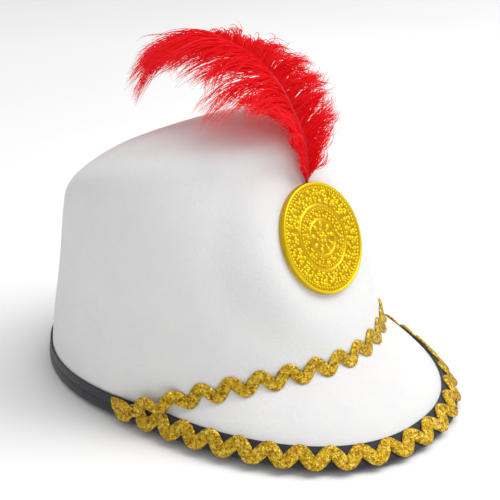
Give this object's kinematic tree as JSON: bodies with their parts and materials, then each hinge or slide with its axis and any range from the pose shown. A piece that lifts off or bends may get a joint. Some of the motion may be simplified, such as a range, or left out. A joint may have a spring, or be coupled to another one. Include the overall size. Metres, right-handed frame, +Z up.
{
  "type": "drum major hat",
  "caption": "Tall white felt hat with a slanting top, a dark-bound peak, wavy gold braid, a round gold badge in relief and a curved red plume.",
  "frame": {"origin": "middle of the hat's bounding box in plan, on the surface the hat rests on", "axes": "+Z up through the crown, the peak points along -Y, +X to the wearer's left"},
  "size_m": [0.1818, 0.2455, 0.1816],
  "materials": {
    "white_felt": "matt felt with short fibres",
    "dark_tape": "woven tape with a low sheen",
    "gold_braid": "metallic thread, glittering",
    "gold_badge": "metallised gold plastic, glossy",
    "red_feather": "soft dyed feather barbs"
  },
  "bodies": {
    "root": {"crown": "white_felt", "peak": "white_felt", "edge_binding": "dark_tape", "seam_braid": "gold_braid", "peak_braid": "gold_braid", "badge": "gold_badge", "plume": "red_feather"}
  },
  "joints": []
}
